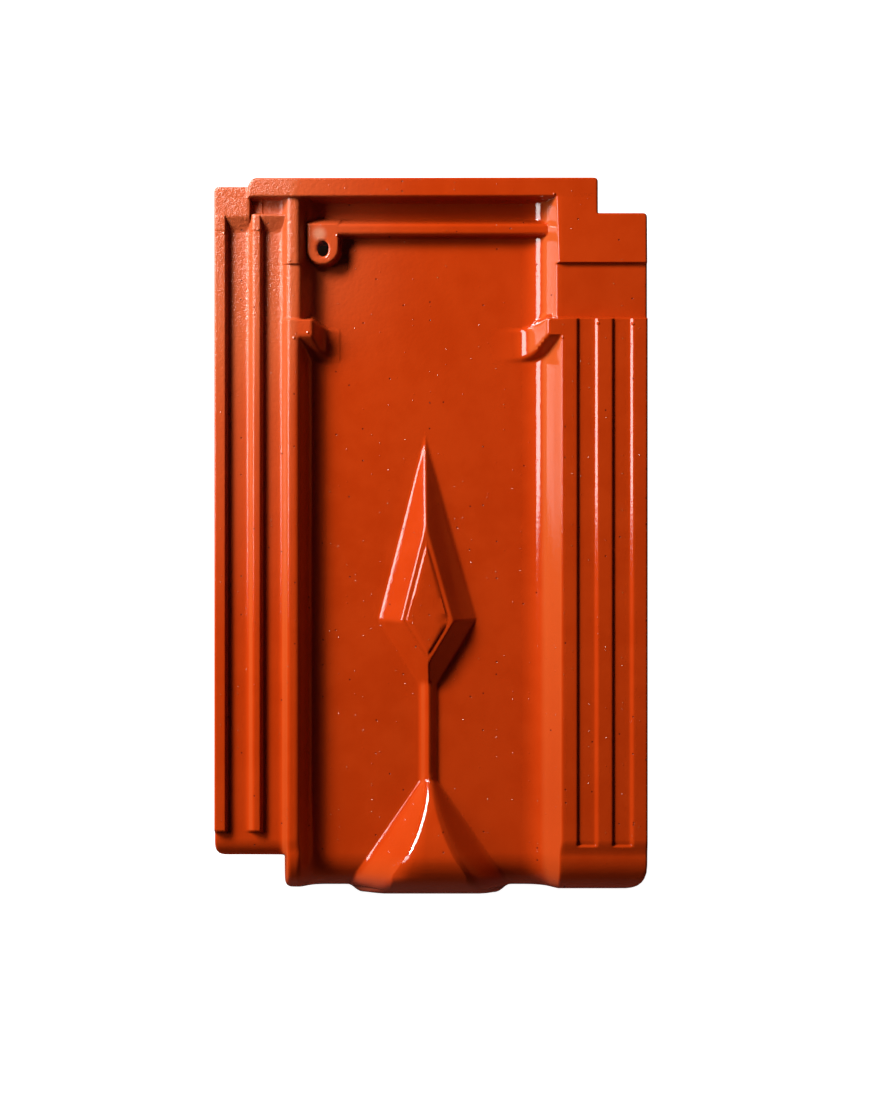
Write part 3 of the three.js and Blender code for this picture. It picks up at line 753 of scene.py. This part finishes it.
# Underside: open behind the foot apron, with two nibs and the ribs that drop into the next tile's lap
underForm = {
    "lapThickness": 11.0,
    "coverGap": 0.5,
    "lockGap": 2.0,
    "lockRib": 6.0,
    "lockBatter": 1.5,
    "panGap": 3.0,
    "apron": 13.8,
    "apronRun": 5.0,
    "apronLead": 1.6,
    "coverWall": 9.0,
    "jointGap": 0.6,
}
nibForm = {"spacing": 76.0, "width": 26.0, "length": 14.0, "fromHead": 30.0}


def undersidePlaces():
    # the underside's section carried along its rows, with the nibs let down from it
    courseRise = panTop + underForm["panGap"]
    coverApron = panTop + coverForm["band"] - courseRise
    mainApron = panTop + mainRibRise["band"] - courseRise + underForm["coverGap"]
    lapUnder = channelFloor - underForm["lapThickness"]
    coverUnder = smallRibTop + underForm["coverGap"]
    lockLevel = channelFloor + underForm["lockGap"]
    pitch = rightEdge - channelRight - planForm["mainFootFromChannel"] + underForm["jointGap"]
    underSlopeX = panRight + underForm["coverWall"] / math.sin(panForm["slope"])
    panUnderRight = underSlopeX - (panTop - panForm["under"]) * slopeRun
    coverUnderLeft = underSlopeX + (coverUnder - panTop) * slopeRun
    coverApronLeft = panRight + coverForm["band"] * slopeRun - underForm["jointGap"]
    lapUnderRight = mainRibLeft - (lapUnder - panForm["under"]) * slopeRun
    mainApronRight = panLeft - mainRibRise["band"] * slopeRun + underForm["jointGap"]
    apronBackY = footY + underForm["apron"]
    nibFootY = headY - nibForm["fromHead"]
    lockHeadY = headForm["lapRampFootY"] - underForm["jointGap"]
    y = np.unique(np.concatenate([
        marks(tailFootY - 3, apronBackY, 4),
        marks(apronBackY, apronBackY + underForm["apronRun"], 0.6),
        marks(apronBackY + underForm["apronRun"], nibFootY - 3, 9),
        marks(nibFootY - 3, nibFootY + nibForm["length"] + 3, 0.6),
        marks(lockHeadY - 0.3, lockHeadY + 1.2, 0.5),
        marks(nibFootY + nibForm["length"] + 3, headY + 2, 4),
    ]))
    apron = eased((apronBackY + underForm["apronRun"] - y) / underForm["apronRun"])
    lock = eased((lockHeadY + 0.6 - y) / 1.2)

    def between(opened, closed):
        return opened + (closed - opened) * apron

    under = between(coverUnder, coverApron)
    lockTip = between(coverUnder + (lockLevel - coverUnder) * lock, coverApron - 0.01)
    corners = [
        (leftEdge - 2, between(lapUnder, mainApron), 0, 1),
        (between(lapUnderRight, mainApronRight), between(lapUnder, mainApron), 2.0, 14),
        (between(panLeft, panLeft + underForm["apronLead"]), between(panForm["under"], 0), 2.0, 5),
        (between(panUnderRight, panRight - underForm["apronLead"]), between(panForm["under"], 0), 2.5, 84),
        (between(coverUnderLeft, coverApronLeft), under, 2.5, 5),
    ]
    laps = [(grooveLeft + grooveRight) / 2 + pitch, (channelLeft + channelRight) / 2 + pitch]
    half = underForm["lockRib"] / 2
    for centre in laps:
        corners.append((centre - half - underForm["lockBatter"], under, 0.8, 2))
        corners.append((centre - half, lockTip, 0.8, 1))
        corners.append((centre + half, lockTip, 0.8, 2))
        corners.append((centre + half + underForm["lockBatter"], under, 0.8, 1))
    corners.append((rightEdge + 2, under, 0, 4))
    x, z = carriedSection(corners, y.size, 3)
    y = np.broadcast_to(y[:, None], x.shape)
    for side in (-1, 1):
        centre = panMiddle + side * nibForm["spacing"] / 2
        across = edgeFall(nibForm["width"] / 2 - np.abs(x - centre), 1.6, 8.0)
        foot = edgeFall(y - nibFootY, 1.0, 30.0)
        head = edgeFall(nibFootY + nibForm["length"] - y, 2.0, 8.0)
        nib = np.maximum(np.maximum(across, foot), head)
        z = lowered(z, nib, 2.0)
    return np.stack([x, y, np.maximum(z, 0)], axis=-1)


# Turning grids into meshes
def meshObject(name, places, faces, materials):
    # vertices in millimetres and faces as lists of corners, put into a mesh in metres
    mesh = bpy.data.meshes.new(name)
    mesh.from_pydata(np.asarray(places) / metre, [], faces)
    for material in materials:
        mesh.materials.append(material)
    mesh.update()
    thing = bpy.data.objects.new(name, mesh)
    bpy.context.scene.collection.objects.link(thing)
    return thing


def gridBlock(name, places, capLevel, materials):
    # solid between a grid of points and a level plane, closed by a skirt and a fan round its middle
    rows, columns = places.shape[:2]
    index = np.arange(rows * columns).reshape(rows, columns)
    upward = capLevel < places[..., 2].min()
    quads = np.stack([index[:-1, :-1], index[:-1, 1:], index[1:, 1:], index[1:, :-1]], axis=-1).reshape(-1, 4)
    ring = np.concatenate([index[0, :-1], index[:-1, -1], index[-1, :0:-1], index[:0:-1, 0]])
    flat = places.reshape(-1, 3)
    cap = flat[ring].copy()
    cap[:, 2] = capLevel
    centre = cap.mean(axis=0)
    lower = rows * columns + np.arange(ring.size)
    skirt = np.stack([ring, lower, np.roll(lower, -1), np.roll(ring, -1)], axis=-1)
    middle = rows * columns + ring.size
    fan = np.stack([np.full(ring.size, middle), np.roll(lower, -1), lower], axis=-1)
    if not upward:
        quads = quads[:, ::-1]
        skirt = skirt[:, ::-1]
        fan = fan[:, ::-1]
    faces = quads.tolist() + skirt.tolist() + fan.tolist()
    return meshObject(name, np.concatenate([flat, cap, centre[None]]), faces, materials)


def ringBlock(name, rings, materials):
    # solid through level rings of as many points each, from the lowest to the highest
    count = rings[0].shape[0]
    index = np.arange(len(rings) * count).reshape(len(rings), count)
    onward = np.roll(index, -1, axis=1)
    sides = np.stack([index[:-1], onward[:-1], onward[1:], index[1:]], axis=-1).reshape(-1, 4)
    faces = sides.tolist() + [index[0, ::-1].tolist(), index[-1].tolist()]
    return meshObject(name, np.concatenate(rings), faces, materials)


def atLevel(outline, level):
    return np.concatenate([outline, np.full((outline.shape[0], 1), level)], axis=1)


def nailHoleRings():
    # ovals from below the tile to above the boss, longest at the mouth
    angle = np.linspace(0, 2 * math.pi, 48, endpoint=False)
    wide = np.stack([np.cos(angle), np.sin(angle)], axis=1) / 2
    centre = np.array([bossForm["x"], bossForm["y"]])
    shares = np.linspace(0, 1, 7)
    rings = []
    for share in shares:
        length = nailHole["length"] + (nailHole["mouthLength"] - nailHole["length"]) * share
        level = panForm["under"] - 4 + (headForm["barRise"] + panTop - panForm["under"] + 8) * share
        rings.append(atLevel(centre + wide * [nailHole["width"], length], level))
    return rings


def cutBy(target, cutter, operation):
    # a live cut, which is made solid when the tile is finished
    cut = target.modifiers.new(cutter.name, "BOOLEAN")
    cut.operation = operation
    cut.solver = "MANIFOLD"
    cut.object = cutter


cutLevels = {"tileFoot": -30, "planFoot": -10, "planHead": 110, "underHead": 120}
sharpAngle = math.radians(42)


def tileShape(materials):
    # the block under the face, cut to the underside, to the plan and by the nail hole
    outline = planOutline()
    tile = gridBlock("glazedRoofTile", facePlaces(outline), cutLevels["tileFoot"], materials)
    under = gridBlock("undersideCutter", undersidePlaces(), cutLevels["underHead"], materials)
    planRings = [atLevel(outline, cutLevels["planFoot"]), atLevel(outline, cutLevels["planHead"])]
    plan = ringBlock("planCutter", planRings, materials)
    hole = ringBlock("nailHoleCutter", nailHoleRings(), materials)
    cutBy(tile, under, "INTERSECT")
    cutBy(tile, plan, "INTERSECT")
    cutBy(tile, hole, "DIFFERENCE")
    bpy.context.view_layer.update()
    finished = bpy.data.meshes.new_from_object(tile.evaluated_get(bpy.context.evaluated_depsgraph_get()))
    tile.modifiers.clear()
    tile.data = finished
    for cutter in (under, plan, hole):
        bpy.data.objects.remove(cutter)
    finished.shade_smooth()
    finished.set_sharp_from_angle(angle=sharpAngle)
    return tile


# Shader maths as plain expressions
class Wire:
    tree = None

    def __init__(self, socket):
        self.socket = socket

    @classmethod
    def node(cls, kind, settings=None, inputs=None, output=0):
        made = cls.tree.nodes.new(kind)
        for name, value in (settings or {}).items():
            setattr(made, name, value)
        for name, value in (inputs or {}).items():
            if isinstance(value, Wire):
                cls.tree.links.new(value.socket, made.inputs[name])
            else:
                made.inputs[name].default_value = value
        return cls(made.outputs[output])

    @classmethod
    def maths(cls, operation, *values):
        return cls.node("ShaderNodeMath", {"operation": operation}, dict(enumerate(values)))

    def __add__(self, other):
        return Wire.maths("ADD", self, other)

    def __sub__(self, other):
        return Wire.maths("SUBTRACT", self, other)

    def __rsub__(self, other):
        return Wire.maths("SUBTRACT", other, self)

    def __mul__(self, other):
        return Wire.maths("MULTIPLY", self, other)

    __radd__ = __add__
    __rmul__ = __mul__

    def between(self, low, high):
        # 0 below low, 1 above high, eased between them
        settings = {"interpolation_type": "SMOOTHSTEP"}
        return Wire.node("ShaderNodeMapRange", settings, {"Value": self, "From Min": low, "From Max": high})

    def blend(self, first, second):
        # the first colour where this is 0 and the second where it is 1
        settings = {"data_type": "RGBA"}
        return Wire.node("ShaderNodeMix", settings, {"Factor": self, 6: first, 7: second}, 2)


glazeLook = {
    "glaze": (0.38, 0.031, 0.0024),
    "deepGlaze": (0.35, 0.026, 0.0016),
    "roughGlazePaintedSheen": (0.44, 0.078, 0.0230),
    "darkFootGlaze": (0.17, 0.042, 0.028),
    "slopeSheenGlaze": (0.38, 0.060, 0.0120),
    "speck": (0.05, 0.006, 0.004),
    "bossGlareTint": (0.50, 0.26, 0.16),
    "clay": (0.36, 0.11, 0.045),
    "paleClay": (0.45, 0.17, 0.075),
    "roughness": 0.07,
    "peelDepth": 0.00018,
    "beadHeight": 2.6,
    "beadRadius": 0.0011,
}
# where the glaze changes, in metres from the middle of the tile
glazeZones = {
    "headLeft": ((-0.03, 0.11), (0.06, 0.17)),  # to the left, and to the head
    "lapSide": ((0.074, 0.080), (-0.12, 0.10)),  # to the left, and to the head
    "slopeSheenAlong": (-0.18, 0.10),  # the painted sheen on steep left-facing slopes grows paler to the head
    "footNose": (0.190, 0.204),  # to the foot
    "bossPaintedGlare": (-0.0635, 0.1740, 0.0010, 0.0055),  # its middle and its two radii
}
# cells a metre, the dot's inner and outer radius in cells, and the share of cells that have one
glazeDots = {"pits": (130, 0.045, 0.075, 0.09), "grains": (210, 0.05, 0.10, 0.12)}
# drops of glaze that stand at corners, in metres from the middle of the tile
glazeBeads = [
    (-0.1176, 0.1738), (-0.0981, 0.1761), (-0.0800, 0.1580), (-0.0531, 0.1730),
    (-0.0696, 0.1170), (-0.0776, 0.1139), (0.0706, 0.1955), (0.0722, 0.1563),
    (0.0750, 0.1135), (0.0953, 0.1215), (0.1150, 0.1212),
]


def glazeMaterial():
    # glossy orange-red glaze with orange peel, specks and pinholes on the face, painted sheen on the lap and
    # on the left-facing slopes, a painted glare on the boss, bare clay beneath
    material = bpy.data.materials.new("orangeRedGlaze")
    material.use_nodes = True
    Wire.tree = material.node_tree
    shader = material.node_tree.nodes["Principled BSDF"]
    place = Wire.node("ShaderNodeTexCoord", output=3)
    split = Wire.node("ShaderNodeSeparateXYZ", inputs={0: place})
    x = split
    y = Wire(split.socket.node.outputs[1])
    plan = Wire.node("ShaderNodeCombineXYZ", inputs={0: x, 1: y})
    facing = Wire.node("ShaderNodeSeparateXYZ", inputs={0: Wire.node("ShaderNodeNewGeometry", output=1)})
    up = Wire(facing.socket.node.outputs[2])

    def noise(scale, detail=2.0, roughness=0.5):
        values = {"Vector": place, "Scale": scale, "Detail": detail, "Roughness": roughness}
        return Wire.node("ShaderNodeTexNoise", inputs=values)

    mottle = noise(22, 4, 0.6)
    cloud = noise(90, 3, 0.55)
    peel = noise(420, 2, 0.5)
    grit = noise(1500, 3, 0.6)

    def dots(scale, small, large, share):
        # round dots in the middle of a share of the cells of a plan pattern
        flat = {"voronoi_dimensions": "2D"}
        cells = {"Vector": place, "Scale": scale}
        near = 1 - Wire.node("ShaderNodeTexVoronoi", flat, cells).between(small, large)
        tone = Wire.node("ShaderNodeTexVoronoi", flat, cells, 1)
        return near * Wire.node("ShaderNodeSeparateColor", inputs={0: tone}).between(1 - share, 1.02 - share)

    def patch(x0, y0, inner, outer):
        # 1 within the inner radius of a place, 0 past the outer radius
        away = Wire.node("ShaderNodeVectorMath", {"operation": "DISTANCE"}, {0: plan, 1: (x0, y0, 0.0)}, 1)
        return 1 - away.between(inner, outer)

    pits = dots(*glazeDots["pits"])
    grains = dots(*glazeDots["grains"])

    def tint(name):
        return (*glazeLook[name], 1)

    def zone(name):
        left, head = glazeZones[name]
        return (0.0 - x).between(*left) * y.between(*head)

    headLeft = zone("headLeft")
    lapSide = zone("lapSide")
    # painted sheen: steep slopes that face the lamps on the left are coloured paler, more so towards the head
    leftSlopeSheen = (0.0 - facing).between(0.55, 0.80) * (0.45 + y.between(*glazeZones["slopeSheenAlong"]) * 0.55)
    footNose = (0.0 - y).between(*glazeZones["footNose"])
    bare = (0.0 - up).between(0.12, 0.42)

    colour = (mottle * 0.7 + cloud * 0.3).between(0.35, 0.65).blend(tint("deepGlaze"), tint("glaze"))
    # the glaze at the head left and on the lap is rough, and its paler colour there is a painted sheen
    colour = (headLeft * 0.7 + lapSide * 0.5).between(0, 1).blend(colour, tint("roughGlazePaintedSheen"))
    colour = leftSlopeSheen.blend(colour, tint("slopeSheenGlaze"))
    # darker, greyer glaze towards the foot
    colour = (footNose * 0.5).blend(colour, tint("darkFootGlaze"))
    # a pale painted glare on the top of the boss
    colour = (patch(*glazeZones["bossPaintedGlare"]) * 0.5).blend(colour, tint("bossGlareTint"))
    colour = (pits * 0.7).blend(colour, tint("speck"))
    clay = cloud.between(0.35, 0.68).blend(tint("clay"), tint("paleClay"))
    colour = bare.blend(colour, clay)
    roughness = glazeLook["roughness"] + (mottle - 0.5) * 0.06
    roughness = roughness + headLeft * 0.12 + lapSide * 0.06 + footNose * 0.15
    roughness = roughness + (0.78 - roughness) * bare
    rough = headLeft * 1.6 + lapSide * 0.8
    height = peel * (0.24 + rough) + grit * (0.06 + rough * 0.7) + grains * 0.6 - pits * 0.9
    for bead in glazeBeads:
        height = height + patch(*bead, 0, glazeLook["beadRadius"]) * glazeLook["beadHeight"]
    bump = Wire.node("ShaderNodeBump", inputs={
        "Strength": 1.0, "Distance": glazeLook["peelDepth"], "Height": height})

    shader.inputs["IOR"].default_value = 1.5
    for name, wire in (("Base Color", colour), ("Roughness", roughness), ("Normal", bump)):
        material.node_tree.links.new(wire.socket, shader.inputs[name])
    return material


tile = tileShape([glazeMaterial()])
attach(tile, "root")
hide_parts("roof_tile")
print("tile is pressed:", len(tile.data.polygons), "faces")

# Pale floor with a dark patch painted as shade under the tile, a softbox low to the upper left, a paler
# screen beside it and hardly any fill
lightRig = {
    "distance": 1.4,
    "boxes": {  # name: azimuth and elevation in degrees, width and height in metres, watts
        "softbox": (137, 31, 0.70, 0.30, 45.0),
        "sideScreen": (168, 31, 0.45, 0.50, 9.0),
    },
    "fill": 0.010,
    "floorGlow": 1.0,
    "floorGrey": 0.35,
    "floorHalf": 4.0,
    "shadePatchGrey": 0.02,
    "patch": (-0.08, 0.11, -0.19, 0.18),  # left, right, foot and head of the dark patch, painted shade under the tile
}


def floorMaterial(name, grey, glow):
    material = bpy.data.materials.new(name)
    material.use_nodes = True
    shader = material.node_tree.nodes["Principled BSDF"]
    shader.inputs["Base Color"].default_value = (grey, grey, grey, 1)
    shader.inputs["Roughness"].default_value = 0.9
    shader.inputs["Emission Color"].default_value = (1, 1, 1, 1)
    shader.inputs["Emission Strength"].default_value = glow
    return material


def addStage():
    # a wide pale floor that glows a little, all but a dark patch under the tile, painted shade that also
    # keeps the nail hole dark
    half = lightRig["floorHalf"]
    left, right, foot, head = lightRig["patch"]
    outer = [(-half, -half, 0), (half, -half, 0), (half, half, 0), (-half, half, 0)]
    inner = [(left, foot, 0), (right, foot, 0), (right, head, 0), (left, head, 0)]
    ring = [(0, 1, 5, 4), (1, 2, 6, 5), (2, 3, 7, 6), (3, 0, 4, 7), (4, 5, 6, 7)]
    mesh = bpy.data.meshes.new("floor")
    mesh.from_pydata(outer + inner, [], ring)
    mesh.materials.append(floorMaterial("paleFloor", lightRig["floorGrey"], lightRig["floorGlow"]))
    # painted shade: a near-black, unlit floor patch where the tile's shade falls
    mesh.materials.append(floorMaterial("paintedShadeUnderTile", lightRig["shadePatchGrey"], 0))
    mesh.polygons[4].material_index = 1
    floor = bpy.data.objects.new("floor", mesh)
    bpy.context.scene.collection.objects.link(floor)
    floor.visible_glossy = False


def addLights():
    for name, (azimuth, elevation, width, height, power) in lightRig["boxes"].items():
        box = bpy.data.objects.new(name, bpy.data.lights.new(name, "AREA"))
        bpy.context.scene.collection.objects.link(box)
        box.data.shape = "RECTANGLE"
        box.data.size = width
        box.data.size_y = height
        box.data.energy = power
        around = math.radians(azimuth)
        above = math.radians(elevation)
        level = math.cos(above)
        direction = Vector((level * math.cos(around), level * math.sin(around), math.sin(above)))
        box.location = direction * lightRig["distance"]
        box.rotation_euler = direction.to_track_quat("Z", "Y").to_euler()
    world = bpy.data.worlds.new("studio")
    bpy.context.scene.world = world
    world.use_nodes = True
    background = world.node_tree.nodes["Background"]
    background.inputs["Color"].default_value = (1, 1, 1, 1)
    background.inputs["Strength"].default_value = lightRig["fill"]


addStage()
addLights()
bpy.context.scene.view_settings.view_transform = "Standard"
print("floor and lights are set")
